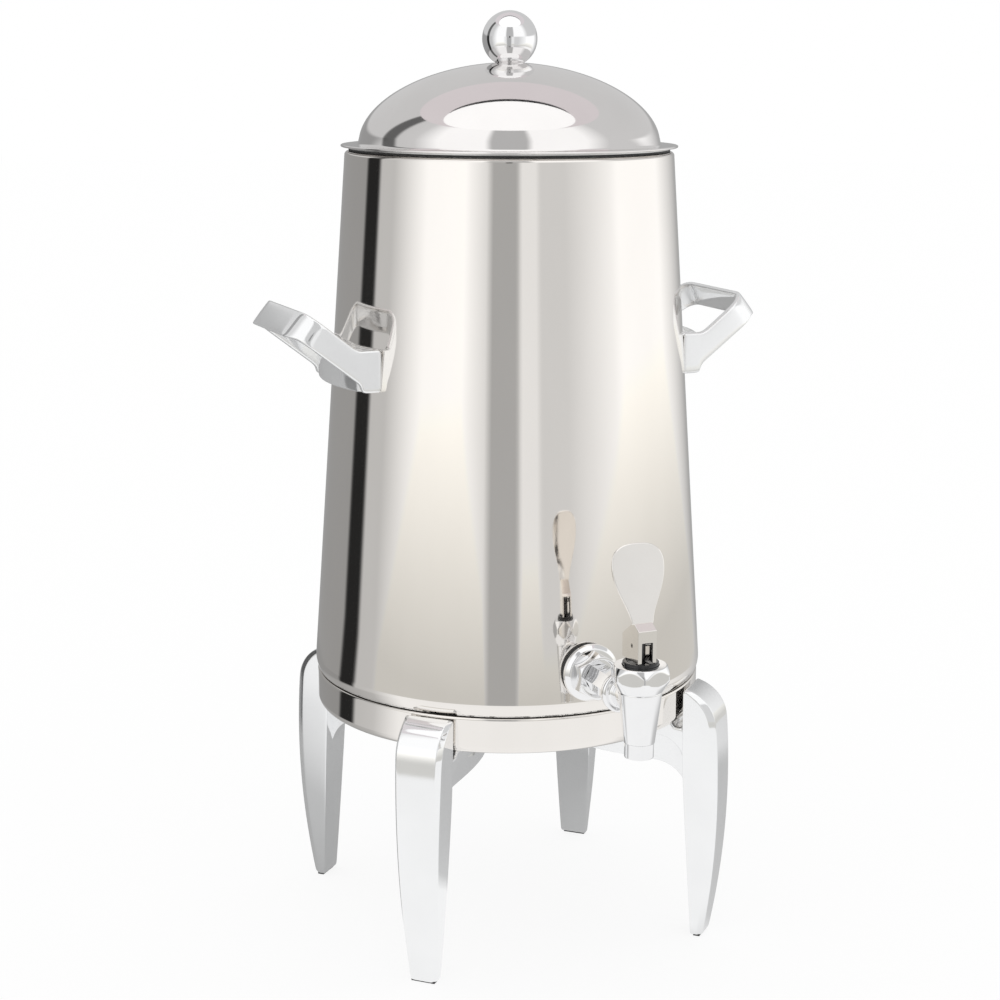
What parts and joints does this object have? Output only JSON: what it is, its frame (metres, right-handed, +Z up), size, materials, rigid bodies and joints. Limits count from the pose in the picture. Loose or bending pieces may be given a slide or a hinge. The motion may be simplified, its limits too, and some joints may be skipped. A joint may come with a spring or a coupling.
{
  "type": "coffee urn",
  "caption": "Tapered double-walled steel urn on four legs, with a lift-off domed lid, side handles and a lever tap that closes by itself.",
  "frame": {"origin": "on the floor, under the vertical axis of the urn", "axes": "+Z up, the tap faces -Y, the handles face -X and +X"},
  "size_m": [0.3884, 0.4049, 0.7078],
  "materials": {
    "shell_steel": "mirror-polished stainless steel",
    "tank_steel": "satin stainless steel",
    "plate_steel": "plain stainless steel",
    "insulator": "matte fibre ring",
    "fastener_steel": "plain steel",
    "black_rubber": "matte",
    "chrome_casting": "polished, bright",
    "plated_casting": "chrome-plated aluminium casting, polished",
    "chrome_plated": "polished, bright",
    "black_plastic": "glossy moulded",
    "stem_steel": "fine turned",
    "pale_silicone": "matte silicone",
    "lever_steel": "polished stainless steel"
  },
  "bodies": {
    "urn": {"outer_shell": "shell_steel", "mouth_ring": "tank_steel", "inner_tank": "tank_steel", "jacket_base": "plate_steel", "tank_support": "insulator", "getter_cap": "plate_steel", "vessel_studs": "fastener_steel", "vessel_nuts": "fastener_steel", "seam_gasket": "black_rubber", "base_band": "shell_steel", "base_plate": "plate_steel", "leg_front_left": "plated_casting", "leg_front_right": "plated_casting", "leg_rear_right": "plated_casting", "leg_rear_left": "plated_casting", "foot_glides": "black_rubber", "leg_screws": "fastener_steel", "leg_nuts": "fastener_steel", "handle_left": "chrome_casting", "handle_right": "chrome_casting", "handle_studs": "fastener_steel", "handle_set_screws": "fastener_steel", "outlet_pipe": "plate_steel", "shell_washer": "black_rubber", "flange_nut": "chrome_plated", "shank": "chrome_plated", "shank_gasket": "black_rubber", "tap_body": "chrome_plated", "bonnet": "chrome_plated", "gland": "black_plastic", "valve_spring": "fastener_steel"},
    "plunger": {"stem": "stem_steel", "seat_cup": "pale_silicone"},
    "lever": {"lever": "lever_steel", "pivot_pin": "fastener_steel"},
    "lid": {"lid_dome": "shell_steel", "lid_liner": "tank_steel", "lid_gasket": "black_rubber", "lid_knob": "chrome_casting", "knob_screw": "fastener_steel", "knob_washer": "fastener_steel"}
  },
  "joints": [
    {"name": "lid_lift", "type": "slide", "parent": "urn", "child": "lid", "axis": [0, 0, 1], "range_m": [0, 0.08]},
    {"name": "stem_lift", "type": "slide", "parent": "urn", "child": "plunger", "axis": [0, 0, 1], "range_m": [0, 0.0032], "deforming": ["valve_spring"]},
    {"name": "lever_tilt", "type": "hinge", "parent": "plunger", "child": "lever", "pos_m": [0, -0.233, 0.2788], "axis": [1, 0, 0], "range_deg": [0, 25], "stiffness_Nm_per_rad": 0.4, "springref_deg": -14.32}
  ],
  "couplings": [
    {"joint": "stem_lift", "follows": "lever_tilt", "m_per_rad": 0.007}
  ]
}
